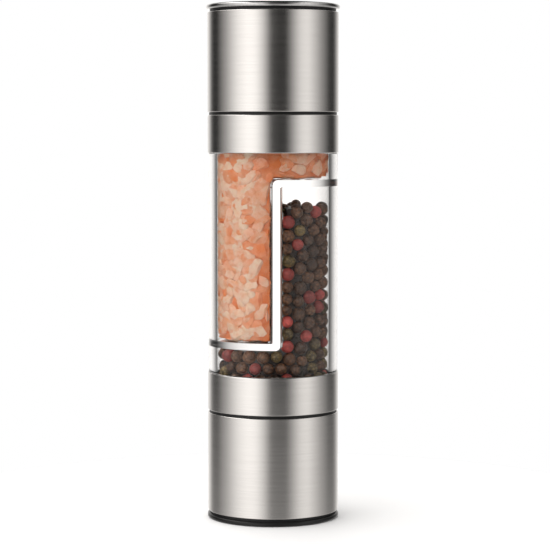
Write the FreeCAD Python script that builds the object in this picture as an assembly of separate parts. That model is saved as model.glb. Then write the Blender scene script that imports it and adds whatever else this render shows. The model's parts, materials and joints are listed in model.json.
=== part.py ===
import FreeCAD
import Part
import math
import os
import random

# A two-ended hand mill: a clear jar with a salt chamber and a pepper chamber, and the same steel
# grinding head on each end, salt on top and pepper below.
# Each end is drawn once in its own frame, with z = 0 at the jar's shoulder and +z out towards the
# lid. Turned half round about the Y axis it is the lower end. Millimetres, +Z up, front towards -Y,
# z = 0 where the mill stands.

# Steel outside of each end
grip_radius = 26.0
steel_wall = 0.8
steel_edge = 0.35
collar_height = 15.0
seam_height = 1.0
seam_recess = 0.6
grip_height = 39.5

# Lid
lid_gap_height = 1.0
lid_gap_recess = 1.0
rim_overhang = 0.55
foot_overhang = 0.15
rim_height = 2.0
rim_edge = 0.9
rim_width = 3.1
lid_dish = 0.4
lid_skirt_depth = 6.0
lid_skirt_wall = 2.2
lid_seal_section = 1.4

# Clear jar and the stepped wall between its two chambers
jar_inset = 0.25
jar_height = 87.0
jar_wall = 3.4
jar_edge = 0.4
divider_wall = 2.7
divider_rise = 63.6
divider_corner = 1.8
pocket_corner = 0.6
neck_wall = 1.7
neck_height = 8.0
neck_seal_section = 1.2
neck_seal_height = 2.6
key_count = 4
key_width = 3.0
key_depth = 3.6

# Spices: peppercorns and salt chips that show through the jar, over a plain bed
pepper_headspace = 5.6
berry_radius = 2.5
berry_spread = 0.3
berry_bed = 1.9
chip_radius = 3.4
chip_spread = 0.5
chip_wall = 2.2
chip_bed = 1.1
chip_lean = 7.0
chip_sides = 6
spice_cover = 0.74
spice_gap = 0.12
heap_unevenness = 3.5
least_grain = 0.8
settling_rounds = 160
settling_ease = 0.4

# Collar with the spindle's hub on three arms, and the barrel that the head turns on
rim_wall = 2.2
deck_wall = 3.0
barrel_inset = 4.15
barrel_wall = 2.2
barrel_land = 1.2
arm_count = 3
arm_width = 4.0
hub_radius = 5.0
hub_drop = 2.0
hub_rise = 3.0
clip_wall = 1.2
clip_depth = 0.9
clip_reach = 1.6
clip_opening = 5.0

# Head and burrs
head_wall = 2.0
flange_wall = 3.0
outlet_depth = 15.0
burr_height = 12.0
burr_seat_wall = 2.5
burr_socket_wall = 1.6
screw_land = 3.35
stator_inlet_wall = 5.0
stator_throat_wall = 2.8
stator_throat_height = 8.0
stator_teeth = 30
stator_key_count = 3
stator_key_radius = 1.4
rotor_inlet_radius = 7.5
rotor_gap = 0.5
rotor_lift = 1.0
rotor_proud = 0.6
rotor_teeth = 9
rotor_fine_teeth = 27
tooth_depth = 0.8
tooth_share = 0.8
tooth_slant = 16.0
crusher_depth = 2.4
retainer_wall = 2.0
retainer_bore_gap = 1.0
screw_count = 3
screw_radius = 1.0
screw_length = 8.0
screw_head_radius = 1.5
screw_head_height = 1.2
screw_recess_radius = 0.9
screw_recess_depth = 0.7
boss_wall = 1.1

# Spindle, spring and grind adjuster
spindle_width = 4.0
spindle_head_radius = 4.2
spindle_head_height = 1.8
spindle_tip_radius = 1.95
spring_wire = 0.9
spring_turns = 6
washer_wall = 0.6
washer_radius = 6.0
knob_radius = 8.0
knob_height = 8.5
knob_edge = 1.0
knob_flutes = 10
knob_flute_radius = 1.3
knob_dish_radius = 4.4
knob_dish_depth = 1.2
spindle_tip_drop = 0.5

# Clearances
bond_gap = 0.05
seat_gap = 0.05
slip_gap = 0.2
running_gap = 0.08
seal_gap = 0.05
fill_gap = 0.3
overcut = 1.0

# Radii shared by the pieces
core_radius = grip_radius - steel_wall - bond_gap
seam_radius = grip_radius - seam_recess
jar_radius = grip_radius - jar_inset
bore_radius = jar_radius - jar_wall
neck_radius = bore_radius + neck_wall
collar_bore = neck_radius + slip_gap
barrel_radius = bore_radius - barrel_inset
window_radius = barrel_radius - barrel_wall
well_radius = core_radius - head_wall
socket_outer = well_radius - screw_land
socket_radius = socket_outer - burr_socket_wall
stator_radius = socket_radius - slip_gap
stator_inlet_radius = stator_radius - stator_inlet_wall
stator_throat_radius = stator_radius - stator_throat_wall
boss_radius = screw_radius + boss_wall
screw_circle = (socket_outer + well_radius) / 2
lid_radius = grip_radius + rim_overhang - rim_width
skirt_radius = well_radius - slip_gap
square_corner = spindle_width / math.sqrt(2)
spring_radius = square_corner + slip_gap + spring_wire / 2
rotor_radius = stator_throat_radius - rotor_gap

# Heights in the frame of one end
collar_top = collar_height
grip_bottom = collar_top + seam_height
grip_top = grip_bottom + grip_height
lid_top = grip_top + lid_gap_height + rim_height
deck_bottom = neck_height + slip_gap
deck_top = deck_bottom + deck_wall
hub_bottom = deck_bottom - hub_drop
hub_top = deck_top + hub_rise
spindle_bottom = hub_bottom - spindle_head_height
fill_mouth = spindle_bottom - fill_gap
flange_bottom = grip_bottom + seat_gap
flange_top = flange_bottom + flange_wall
clip_bottom = flange_top + 2 * seat_gap
clip_top = clip_bottom + clip_wall
barrel_top = clip_top + barrel_land
burr_top = grip_top - outlet_depth
burr_bottom = burr_top - burr_height
rotor_bottom = burr_bottom + rotor_lift
rotor_top = burr_top + rotor_proud
spring_bottom = hub_top + seat_gap
spring_top = rotor_bottom - washer_wall - 2 * seat_gap
knob_bottom = rotor_top + washer_wall + 2 * seat_gap
knob_top = knob_bottom + knob_height

# Heights of the whole mill
lower_shoulder = lid_top
upper_shoulder = lower_shoulder + jar_height
mid_height = lower_shoulder + jar_height / 2

# Limits of the lower chamber's spice; the upper chamber is the same, turned half round
spice_reach = bore_radius - fill_gap
spice_side = divider_wall / 2 + fill_gap
spice_shelf = mid_height - divider_rise / 2 - divider_wall / 2 - fill_gap
spice_bottom = lower_shoulder - fill_mouth
spice_roof = mid_height + divider_rise / 2 - divider_wall / 2

ORIGIN = FreeCAD.Vector(0, 0, 0)
ALONG_Y = FreeCAD.Vector(0, 1, 0)
ALONG_Z = FreeCAD.Vector(0, 0, 1)


def outline(corners):
    """A closed wire in the XZ plane through (x, z) corners; (x, z, radius) rounds that corner."""
    points = [FreeCAD.Vector(c[0], 0, c[1]) for c in corners]
    stretches = []
    for i, corner in enumerate(corners):
        point = points[i]
        if len(corner) == 2:
            stretches.append((point, None, point))
            continue
        back = (points[i - 1] - point).normalize()
        ahead = (points[(i + 1) % len(points)] - point).normalize()
        half = back.getAngle(ahead) / 2
        run = corner[2] / math.tan(half)
        inward = (back + ahead).normalize()
        crown = point + inward * (corner[2] / math.sin(half) - corner[2])
        stretches.append((point + back * run, crown, point + ahead * run))
    edges = []
    for i, (start, crown, end) in enumerate(stretches):
        if crown is not None:
            edges.append(Part.Arc(start, crown, end).toShape())
        following = stretches[(i + 1) % len(stretches)][0]
        edges.append(Part.LineSegment(end, following).toShape())
    return Part.Wire(edges)


def turned(corners):
    """The solid that (radius, z) corners sweep out about the Z axis."""
    return Part.Face(outline(corners)).revolve(ORIGIN, ALONG_Z, 360)


def ring(inner, outer, low, high):
    return turned([(inner, low), (outer, low), (outer, high), (inner, high)])


def rod(radius, low, high, x=0.0, y=0.0):
    return Part.makeCylinder(radius, high - low, FreeCAD.Vector(x, y, low))


def block(x_low, x_high, y_width, low, high):
    corner = FreeCAD.Vector(x_low, -y_width / 2, low)
    return Part.makeBox(x_high - x_low, y_width, high - low, corner)


def around(shape, count, start=0.0):
    """Copies of a shape at even angles about the Z axis."""
    return [shape.rotated(ORIGIN, ALONG_Z, start + 360 * i / count) for i in range(count)]


def torus(mean_radius, section, height):
    return Part.makeTorus(mean_radius, section / 2, FreeCAD.Vector(0, 0, height))


def tooth_cutters(low, high, depth, count, inward):
    """V-shaped bars along a cone from (radius, z) low to high, slanted, that cut teeth into it."""
    start = FreeCAD.Vector(low[0], 0, low[1])
    along = FreeCAD.Vector(high[0], 0, high[1]) - start
    length = along.Length
    along.normalize()
    out = FreeCAD.Vector(along.z, 0, -along.x)
    if not inward:
        out = out * -1
    half_width = tooth_share * math.pi * min(low[0], high[0]) / count
    spread = half_width * (depth + overcut) / depth
    foot = start - along * overcut
    apex = foot - out * depth
    left = foot + out * overcut + ALONG_Y * spread
    right = foot + out * overcut - ALONG_Y * spread
    triangle = Part.Face(Part.makePolygon([apex, left, right, apex]))
    bar = triangle.extrude(along * (length + 2 * overcut))
    middle = start + along * (length / 2)
    return around(bar.rotated(middle, out, tooth_slant), count)


def helix_point(turn, radius, low, pitch):
    angle = 2 * math.pi * turn
    return FreeCAD.Vector(radius * math.cos(angle), radius * math.sin(angle), low + pitch * turn)


def helix_heading(turn, radius, pitch):
    angle = 2 * math.pi * turn
    climb = pitch / (2 * math.pi)
    heading = FreeCAD.Vector(-radius * math.sin(angle), radius * math.cos(angle), climb)
    return heading.normalize()


def tangent_arc(start, corner, end):
    """The arc that touches start to corner and corner to end, which are equally long."""
    middle = (start + end) * 0.5
    reach = (corner - start).Length
    cosine = (end - start).Length / 2 / reach
    sine = math.sqrt(1 - cosine * cosine)
    sagitta = reach * cosine / sine * (1 - cosine)
    crown = middle + (corner - middle).normalize() * sagitta
    return Part.Arc(start, crown, end).toShape()


def biarc(start, start_heading, end, end_heading):
    """Two arcs that leave start and reach end along the given headings."""
    chord = end - start
    both = start_heading + end_heading
    a = both.dot(both) - 4
    b = -2 * chord.dot(both)
    c = chord.dot(chord)
    reach = (-b - math.sqrt(b * b - 4 * a * c)) / (2 * a)
    first = start + start_heading * reach
    second = end - end_heading * reach
    joint = (first + second) * 0.5
    return [tangent_arc(start, first, joint), tangent_arc(joint, second, end)]


def coil(radius, wire, low, high, turns):
    """A coil spring of round wire, between two heights, as one tube."""
    pitch = (high - low - wire) / turns
    base = low + wire / 2
    arcs = []
    for i in range(2 * turns):
        here = i / 2
        there = (i + 1) / 2
        arcs += biarc(
            helix_point(here, radius, base, pitch),
            helix_heading(here, radius, pitch),
            helix_point(there, radius, base, pitch),
            helix_heading(there, radius, pitch),
        )
    path = Part.Wire(arcs)
    heading = helix_heading(0, radius, pitch)
    start = helix_point(0, radius, base, pitch)
    section = Part.Wire(Part.Circle(start, heading, wire / 2).toShape())
    print("spring: least gap between turns", round(pitch - wire, 3), "mm")
    return path.makePipeShell([section], True, False)


def chamber(inset, floor_clear, mouth):
    """The salt chamber about the jar's middle: a full bore above the shelf, and half a bore beside it."""
    wall = -divider_wall / 2 - inset
    shelf = divider_rise / 2 + divider_wall / 2 + inset
    floor = -divider_rise / 2 + divider_wall / 2 + floor_clear
    side = jar_radius + overcut
    face = Part.Face(
        outline(
            [
                (-side, mouth),
                (-side, floor),
                (wall, floor, pocket_corner),
                (wall, shelf, divider_corner),
                (side, shelf),
                (side, mouth),
            ]
        )
    )
    slab = face.extrude(ALONG_Y * (2 * side)).translated(ALONG_Y * -side)
    return slab.common(rod(bore_radius - inset, floor - overcut, mouth + overcut))


def half_turn(shape):
    return shape.rotated(ORIGIN, ALONG_Y, 180)


def jar():
    """The clear moulding: outside with two necks, less both chambers and the key slots."""
    half = jar_height / 2
    end = half + neck_height
    body = turned(
        [
            (0, -end),
            (neck_radius, -end),
            (neck_radius, -half),
            (jar_radius, -half, jar_edge),
            (jar_radius, half, jar_edge),
            (neck_radius, half),
            (neck_radius, end),
            (0, end),
        ]
    )
    salt = chamber(0, 0, end + overcut)
    slot_low = half + neck_height - key_depth - slip_gap
    slot = block(
        bore_radius - overcut,
        neck_radius + overcut,
        key_width + 2 * slip_gap,
        slot_low,
        end + overcut,
    )
    seal_depth = neck_seal_section - slip_gap + seal_gap
    groove = ring(
        neck_radius - seal_depth,
        neck_radius + overcut,
        half + neck_seal_height - neck_seal_section / 2 - seat_gap,
        half + neck_seal_height + neck_seal_section / 2 + seat_gap,
    )
    upper_cuts = [salt, groove] + around(slot, key_count)
    lower_cuts = [half_turn(cut) for cut in upper_cuts]
    return body.cut(upper_cuts + lower_cuts).translated(ALONG_Z * mid_height)


class Grain:
    """A peppercorn or salt chip that lies on the lower chamber's round wall, or on top of its heap."""

    def __init__(self, draw, radius, spread, top, on_wall):
        self.radius = radius + draw.uniform(-spread, spread)
        self.top = top
        self.on_wall = on_wall
        column_height = top - spice_shelf
        whole_height = 2 * (spice_shelf - spice_bottom) + column_height
        self.column = not on_wall or draw.random() * whole_height < column_height
        if self.column:
            angle = draw.uniform(-math.pi / 2, math.pi / 2)
            height = draw.uniform(spice_shelf, top)
        else:
            angle = draw.uniform(-math.pi, math.pi)
            height = draw.uniform(spice_bottom, spice_shelf)
        away = spice_reach * math.sqrt(draw.random())
        self.place = FreeCAD.Vector(away * math.cos(angle), away * math.sin(angle), height)
        self.keep()

    def keep(self):
        """Moves the grain to the nearest place that it may have."""
        x, y, z = self.place
        high = (self.top if self.column else spice_shelf) - self.radius
        low = spice_bottom + self.radius if self.on_wall else high
        reach = spice_reach - self.radius
        beside = spice_side + self.radius
        if self.column:
            x = max(x, beside)
        stretch = reach / math.hypot(x, y)
        if self.on_wall or stretch < 1:
            x *= stretch
            y *= stretch
        if self.column and x < beside:
            x = beside
            y = math.copysign(math.sqrt(reach**2 - x**2), y)
        self.place = FreeCAD.Vector(x, y, min(max(z, low), high))

    def facing(self):
        """The way out of the heap, through the wall or upwards."""
        return FreeCAD.Vector(self.place.x, self.place.y, 0) if self.on_wall else ALONG_Z


def grain_count(radius, area):
    return int(spice_cover * area / (math.pi * radius**2))


def settled_grains(draw, radius, spread, top, unevenness):
    """Grains that have pushed each other apart on the round wall and on top of the heap."""
    reach = spice_reach - radius
    wall_area = math.pi * reach * (top + spice_shelf - 2 * spice_bottom)
    heap_area = math.pi * (reach - 2 * radius) ** 2 / 2 if unevenness else 0
    grains = []
    for on_wall, area in ((True, wall_area), (False, heap_area)):
        for i in range(grain_count(radius, area)):
            grains.append(Grain(draw, radius, spread, top - draw.uniform(0, unevenness), on_wall))
    for i in range(settling_rounds):
        pushes = [FreeCAD.Vector(0, 0, 0) for grain in grains]
        for j, grain in enumerate(grains):
            for k in range(j):
                apart = grain.place - grains[k].place
                overlap = grain.radius + grains[k].radius + spice_gap - apart.Length
                if overlap > 0:
                    push = apart.normalize() * (overlap * settling_ease)
                    pushes[j] += push
                    pushes[k] -= push
        for grain, push in zip(grains, pushes):
            grain.place += push
            grain.keep()
    return trimmed(grains)


def trimmed(grains):
    """The grains, each made as small as its nearest neighbour asks, less those that get too small."""
    fitting = []
    for grain in grains:
        rooms = [grain.radius]
        for other in grains:
            if other is not grain:
                part = grain.radius / (grain.radius + other.radius)
                rooms.append(part * (grain.place - other.place).Length - spice_gap / 2)
        fitting.append(min(rooms))
    kept = []
    for grain, radius in zip(grains, fitting):
        if radius > least_grain * grain.radius:
            grain.radius = radius
            kept.append(grain)
    return kept


def peppercorn_fill():
    """Peppercorns that show through the jar, on a bed that stands for those behind them."""
    bed = chamber(fill_gap + berry_bed, pepper_headspace + berry_bed, jar_height / 2 + fill_mouth)
    grains = settled_grains(
        random.Random(5), berry_radius, berry_spread, spice_roof - pepper_headspace, heap_unevenness
    )
    berries = [Part.makeSphere(grain.radius, grain.place, grain.facing()) for grain in grains]
    return half_turn(bed).translated(ALONG_Z * mid_height).fuse(berries)


def salt_chip(draw, grain):
    """A flat chip with a few sides that lies against the round wall and leans a little."""
    tip = math.radians(chip_lean)
    depth = grain.radius**2 / (2 * spice_reach) + grain.radius * math.sin(tip)
    corners = []
    for i in range(chip_sides):
        angle = 2 * math.pi * (i + draw.uniform(-0.25, 0.25)) / chip_sides
        corners.append(FreeCAD.Vector(0, grain.radius * math.cos(angle), grain.radius * math.sin(angle)))
    chip = Part.Face(Part.makePolygon(corners + corners[:1])).extrude(FreeCAD.Vector(-chip_wall, 0, 0))
    chip.rotate(ORIGIN, ALONG_Y, draw.uniform(-chip_lean, chip_lean) / 2)
    chip.rotate(ORIGIN, ALONG_Z, draw.uniform(-chip_lean, chip_lean) / 2)
    chip.translate(FreeCAD.Vector(spice_reach - depth, 0, 0))
    chip.rotate(ORIGIN, ALONG_Z, math.degrees(math.atan2(grain.place.y, grain.place.x)))
    return chip.translated(ALONG_Z * grain.place.z)


def salt_fill():
    """Salt chips that show through the jar, on a bed of the salt behind them."""
    bed = chamber(fill_gap + chip_bed, fill_gap + chip_bed, jar_height / 2 + fill_mouth)
    draw = random.Random(8)
    grains = settled_grains(draw, chip_radius, chip_spread, spice_roof - fill_gap, 0)
    chips = [salt_chip(draw, grain).translated(ALONG_Z * -mid_height) for grain in grains]
    return bed.fuse([half_turn(chip) for chip in chips]).translated(ALONG_Z * mid_height)


def steel_tube(low, high):
    inner = grip_radius - steel_wall
    return turned(
        [(inner, low), (grip_radius, low, steel_edge), (grip_radius, high, steel_edge), (inner, high)]
    )


def collar_sleeve():
    return steel_tube(seat_gap, collar_top)


def grip_sleeve():
    return steel_tube(flange_bottom, grip_top)


def spindle_hole(gap, low, high):
    width = spindle_width + 2 * gap
    return block(-width / 2, width / 2, width, low - overcut, high + overcut)


def collar_core():
    """Black moulding: skirt over the neck, deck with the hub on its arms, and the turning barrel."""
    groove_radius = barrel_radius - clip_depth
    body = turned(
        [
            (collar_bore, seat_gap),
            (core_radius, seat_gap),
            (core_radius, collar_top),
            (core_radius - rim_wall, collar_top),
            (core_radius - rim_wall, deck_top),
            (barrel_radius, deck_top),
            (barrel_radius, clip_bottom - seat_gap),
            (groove_radius, clip_bottom - seat_gap),
            (groove_radius, clip_top + seat_gap),
            (barrel_radius, clip_top + seat_gap),
            (barrel_radius, barrel_top),
            (window_radius, barrel_top),
            (window_radius, deck_bottom),
            (collar_bore, deck_bottom),
        ]
    )
    arm = block(0, window_radius + barrel_wall / 2, arm_width, deck_bottom, deck_top)
    key = block(
        bore_radius + slip_gap,
        collar_bore + (core_radius - collar_bore) / 2,
        key_width,
        neck_height - key_depth,
        deck_bottom + deck_wall / 2,
    )
    hub = rod(hub_radius, hub_bottom, hub_top)
    added = [hub] + around(arm, arm_count, 90) + around(key, key_count)
    return body.fuse(added).cut(spindle_hole(bond_gap, hub_bottom, hub_top)).removeSplitter()


def glide_ring():
    return ring(barrel_radius + running_gap, seam_radius, collar_top, grip_bottom)


def neck_seal():
    seal_radius = collar_bore - seal_gap - neck_seal_section / 2
    return torus(seal_radius, neck_seal_section, neck_seal_height)


def head_clip():
    """Open spring ring in the barrel's groove, which holds the head on the collar."""
    inner = barrel_radius - clip_depth + seat_gap
    full = ring(inner, inner + clip_depth + clip_reach, clip_bottom, clip_top)
    opening = block(0, barrel_radius + clip_reach + overcut, clip_opening, clip_bottom, clip_top)
    return full.cut(opening)


def head_core():
    """Black moulding inside the steel grip: a tube with the turning flange."""
    return turned(
        [
            (barrel_radius + running_gap, flange_bottom),
            (core_radius, flange_bottom),
            (core_radius, grip_top),
            (well_radius, grip_top),
            (well_radius, flange_top),
            (barrel_radius + running_gap, flange_top),
        ]
    )


def burr_housing():
    """Black moulding pressed into the head's tube: a web, the burr's socket and the screws' bosses."""
    web_bottom = burr_bottom - burr_seat_wall
    body = turned(
        [
            (rotor_radius, web_bottom),
            (well_radius - bond_gap, web_bottom),
            (well_radius - bond_gap, burr_bottom),
            (socket_outer, burr_bottom),
            (socket_outer, burr_top),
            (socket_radius, burr_top),
            (socket_radius, burr_bottom),
            (rotor_radius, burr_bottom),
        ]
    )
    boss = rod(boss_radius, burr_bottom, burr_top, screw_circle)
    boss_room = rod(well_radius - bond_gap, burr_bottom, burr_top)
    hole_bottom = burr_top + retainer_wall - screw_length - overcut
    hole = rod(screw_radius + bond_gap, hole_bottom, burr_top + overcut, screw_circle)
    key = rod(stator_key_radius - slip_gap, burr_bottom, burr_top, socket_radius)
    added = around(boss.common(boss_room), screw_count) + around(key, stator_key_count, 60)
    return body.fuse(added).cut(around(hole, screw_count)).removeSplitter()


def stator_burr():
    """Ceramic ring with a toothed cone that opens towards the outlet."""
    low = burr_bottom + seat_gap
    high = burr_top - seat_gap
    throat = burr_bottom + stator_throat_height
    body = turned(
        [
            (stator_inlet_radius, low),
            (stator_radius, low),
            (stator_radius, high),
            (stator_throat_radius, high),
            (stator_throat_radius, throat),
        ]
    )
    teeth = tooth_cutters(
        (stator_inlet_radius, low), (stator_throat_radius, throat), tooth_depth, stator_teeth, False
    )
    key_slot = rod(stator_key_radius, low - overcut, high + overcut, socket_radius)
    return body.cut(teeth + around(key_slot, stator_key_count, 60))


def rotor_burr():
    """Ceramic cone on the square spindle: deep crushing grooves below, fine teeth at the outlet."""
    throat = burr_bottom + stator_throat_height
    body = turned(
        [
            (0, rotor_bottom),
            (rotor_inlet_radius, rotor_bottom),
            (rotor_radius, throat),
            (rotor_radius, rotor_top),
            (0, rotor_top),
        ]
    )
    crushers = tooth_cutters(
        (rotor_inlet_radius, rotor_bottom), (rotor_radius, throat), crusher_depth, rotor_teeth, True
    )
    fine_teeth = tooth_cutters(
        (rotor_radius, throat), (rotor_radius, rotor_top), tooth_depth, rotor_fine_teeth, True
    )
    return body.cut(crushers + fine_teeth + [spindle_hole(running_gap, rotor_bottom, rotor_top)])


def burr_retainer():
    body = ring(
        stator_throat_radius + retainer_bore_gap,
        well_radius - slip_gap,
        burr_top,
        burr_top + retainer_wall,
    )
    hole = rod(screw_radius + slip_gap, burr_top - overcut, burr_top + retainer_wall + overcut, screw_circle)
    return body.cut(around(hole, screw_count))


def retainer_screws():
    """Round-headed screws with a hexagon recess, through the retainer into the head's bosses."""
    seat = burr_top + retainer_wall
    top = seat + screw_head_height
    shank = rod(screw_radius, seat - screw_length, seat, screw_circle)
    head = rod(screw_head_radius, seat, top, screw_circle)
    angles = [math.pi * i / 3 for i in range(7)]
    corners = [
        FreeCAD.Vector(
            screw_circle + screw_recess_radius * math.cos(a),
            screw_recess_radius * math.sin(a),
            top - screw_recess_depth,
        )
        for a in angles
    ]
    recess = Part.Face(Part.makePolygon(corners)).extrude(ALONG_Z * (screw_recess_depth + overcut))
    screw = shank.fuse(head).removeSplitter().cut(recess)
    return Part.makeCompound(around(screw, screw_count))


def spindle():
    """Steel bolt: round head under the hub, square shank through hub and rotor, round tip for the knob."""
    half = spindle_width / 2
    head = rod(spindle_head_radius, spindle_bottom, hub_bottom)
    shank = block(-half, half, spindle_width, hub_bottom, rotor_top)
    tip_top = knob_top - knob_dish_depth - spindle_tip_drop
    tip = rod(spindle_tip_radius, rotor_top, tip_top)
    return head.fuse([shank, tip]).removeSplitter()


def spring():
    return coil(spring_radius, spring_wire, spring_bottom, spring_top, spring_turns)


def spring_washer():
    low = spring_top + seat_gap
    return ring(square_corner + slip_gap, washer_radius, low, low + washer_wall)


def knob_washer():
    low = rotor_top + seat_gap
    return ring(square_corner + slip_gap, washer_radius, low, low + washer_wall)


def adjuster_knob():
    """Fluted nut that sets how deep the rotor sits in the stator."""
    dish = knob_top - knob_dish_depth
    bore = spindle_tip_radius + running_gap
    body = turned(
        [
            (bore, knob_bottom),
            (knob_radius, knob_bottom, knob_edge),
            (knob_radius, knob_top, knob_edge),
            (knob_dish_radius, knob_top),
            (knob_dish_radius, dish),
            (bore, dish),
        ]
    )
    reach = knob_radius + knob_flute_radius / 2
    flute = rod(knob_flute_radius, knob_bottom - overcut, knob_top + overcut, reach)
    return body.cut(around(flute, knob_flutes))


def seal_height():
    return grip_top - lid_skirt_depth / 2


def lid_plug():
    """Black lid: dished plate, neck in the shadow gap, and a skirt that plugs the outlet well."""
    plate_bottom = grip_top + lid_gap_height
    gap_radius = grip_radius - lid_gap_recess
    skirt_bottom = grip_top - lid_skirt_depth
    groove_depth = lid_seal_section - slip_gap + seal_gap
    groove_low = seal_height() - lid_seal_section / 2 - seat_gap
    groove_high = seal_height() + lid_seal_section / 2 + seat_gap
    return turned(
        [
            (0, plate_bottom),
            (skirt_radius - lid_skirt_wall, plate_bottom),
            (skirt_radius - lid_skirt_wall, skirt_bottom),
            (skirt_radius, skirt_bottom),
            (skirt_radius, groove_low),
            (skirt_radius - groove_depth, groove_low),
            (skirt_radius - groove_depth, groove_high),
            (skirt_radius, groove_high),
            (skirt_radius, grip_top + seat_gap),
            (gap_radius, grip_top + seat_gap),
            (gap_radius, plate_bottom),
            (lid_radius, plate_bottom),
            (lid_radius, lid_top - lid_dish),
            (0, lid_top - lid_dish),
        ]
    )


def lid_seal():
    seal_radius = well_radius - seal_gap - lid_seal_section / 2
    return torus(seal_radius, lid_seal_section, seal_height())


def lid_rim(overhang):
    """Ring round the lid's edge, rounded outside and flat on its face."""
    low = grip_top + lid_gap_height
    outer = grip_radius + overhang
    return turned(
        [
            (lid_radius + bond_gap, low),
            (outer, low, rim_edge),
            (outer, lid_top, rim_edge),
            (lid_radius + bond_gap, lid_top),
        ]
    )


def raised(shape):
    return shape.translated(ALONG_Z * upper_shoulder)


def lowered(shape):
    return half_turn(shape).translated(ALONG_Z * lower_shoulder)


end_pieces = {
    "lid_plug": lid_plug(),
    "lid_seal": lid_seal(),
    "grip_sleeve": grip_sleeve(),
    "head_core": head_core(),
    "burr_housing": burr_housing(),
    "stator_burr": stator_burr(),
    "burr_retainer": burr_retainer(),
    "retainer_screws": retainer_screws(),
    "head_clip": head_clip(),
    "glide_ring": glide_ring(),
    "collar_sleeve": collar_sleeve(),
    "collar_core": collar_core(),
    "neck_seal": neck_seal(),
    "spindle": spindle(),
    "spring": spring(),
    "spring_washer": spring_washer(),
    "rotor_burr": rotor_burr(),
    "knob_washer": knob_washer(),
    "adjuster_knob": adjuster_knob(),
}
pieces = {"jar": jar(), "salt_fill": salt_fill(), "peppercorn_fill": peppercorn_fill()}
for name, shape in end_pieces.items():
    pieces["upper_" + name] = raised(shape)
    pieces["lower_" + name] = lowered(shape)
pieces["upper_lid_rim"] = raised(lid_rim(rim_overhang))
pieces["lower_foot_ring"] = lowered(lid_rim(foot_overhang))

os.makedirs("parts", exist_ok=True)
for name, shape in pieces.items():
    shape.exportStep("parts/" + name + ".step")
    print(name, len(shape.Solids), "solid,", round(shape.Volume), "mm3, valid", shape.isValid())
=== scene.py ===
"""Looks of a two-ended salt and pepper mill, modelled round its CAD frame."""

import json
import math
from typing import NamedTuple

import bmesh
import bpy
import numpy as np
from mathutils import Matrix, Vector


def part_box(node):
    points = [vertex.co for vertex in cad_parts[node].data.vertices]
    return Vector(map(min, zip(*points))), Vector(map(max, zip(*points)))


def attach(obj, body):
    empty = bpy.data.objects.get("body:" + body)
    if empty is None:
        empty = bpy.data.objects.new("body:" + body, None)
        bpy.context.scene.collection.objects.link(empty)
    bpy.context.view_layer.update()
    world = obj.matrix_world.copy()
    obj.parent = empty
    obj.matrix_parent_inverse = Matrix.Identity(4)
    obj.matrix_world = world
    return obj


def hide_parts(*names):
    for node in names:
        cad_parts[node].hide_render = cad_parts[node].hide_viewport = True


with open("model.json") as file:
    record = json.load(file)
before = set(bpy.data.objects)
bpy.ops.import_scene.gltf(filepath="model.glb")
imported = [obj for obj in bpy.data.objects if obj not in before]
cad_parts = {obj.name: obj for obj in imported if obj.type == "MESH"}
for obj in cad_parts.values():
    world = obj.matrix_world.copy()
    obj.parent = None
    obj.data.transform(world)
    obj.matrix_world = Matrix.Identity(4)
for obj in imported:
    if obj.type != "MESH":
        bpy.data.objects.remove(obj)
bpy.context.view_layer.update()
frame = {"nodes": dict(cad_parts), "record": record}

bl_info = {
    "name": "Salt and pepper mill",
    "version": (1, 0, 0),
    "blender": (4, 5, 0),
    "location": "3D View > Sidebar > Mill",
    "description": "Dresses the frame of a two-ended mill with its steel, clear jar, spices and stage",
    "category": "Object",
}

MM = 0.001
ENDS = ("upper", "lower")
ROUND = 160
NEAR = 0.01 * MM


def extent(node):
    """Outer radius, bottom and top of a round CAD node."""
    low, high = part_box(node)
    return high[0], low[2], high[2]


JAR_RADIUS, NECK_LOW, NECK_HIGH = extent("jar")
UPPER_SHOULDER = extent("upper_collar_sleeve")[1]
LOWER_SHOULDER = extent("lower_collar_sleeve")[2]
MID_HEIGHT = (NECK_LOW + NECK_HIGH) / 2
SALT_TOP = extent("salt_fill")[2]
PEPPER_TOP = extent("peppercorn_fill")[2]


def length(name, description, default):
    return bpy.props.FloatProperty(
        name=name, description=description, default=default, unit="LENGTH", min=0.0, precision=5
    )


def colour(name, description, default):
    return bpy.props.FloatVectorProperty(
        name=name, description=description, default=default, subtype="COLOR", size=3, min=0.0, max=1.0
    )


def share(name, description, default):
    return bpy.props.FloatProperty(
        name=name, description=description, default=default, subtype="FACTOR", min=0.0, max=1.0
    )


def angle(name, description, degrees):
    return bpy.props.FloatProperty(
        name=name, description=description, default=math.radians(degrees), subtype="ANGLE"
    )


class SteelSettings(bpy.types.PropertyGroup):
    wall: length("Wall", "Wall of the steel tubes", 0.8 * MM)
    edge: length("Edge", "Rounding of the tubes' ends", 0.35 * MM)
    light: colour("Light", "Lighter grain of the brushed steel", (0.68, 0.665, 0.65))
    dark: colour("Dark", "Darker grain of the brushed steel", (0.62, 0.605, 0.59))
    roughness: share("Roughness", "Mean roughness of the brushed steel", 0.18)


class RimSettings(bpy.types.PropertyGroup):
    width: length("Width", "Width of the rings round the lids", 3.05 * MM)
    edge: length("Edge", "Rounding of the rings", 0.85 * MM)
    metal: colour("Metal", "Polished metal of the upper ring", (0.55, 0.55, 0.55))
    rubber: colour("Rubber", "Black of the foot ring", (0.006, 0.006, 0.006))
    seam: length("Seam", "Width of the dark rings in the seams", 7.0 * MM)
    glide: colour("Glide", "Black of the rings in the seams", (0.008, 0.008, 0.008))


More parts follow.
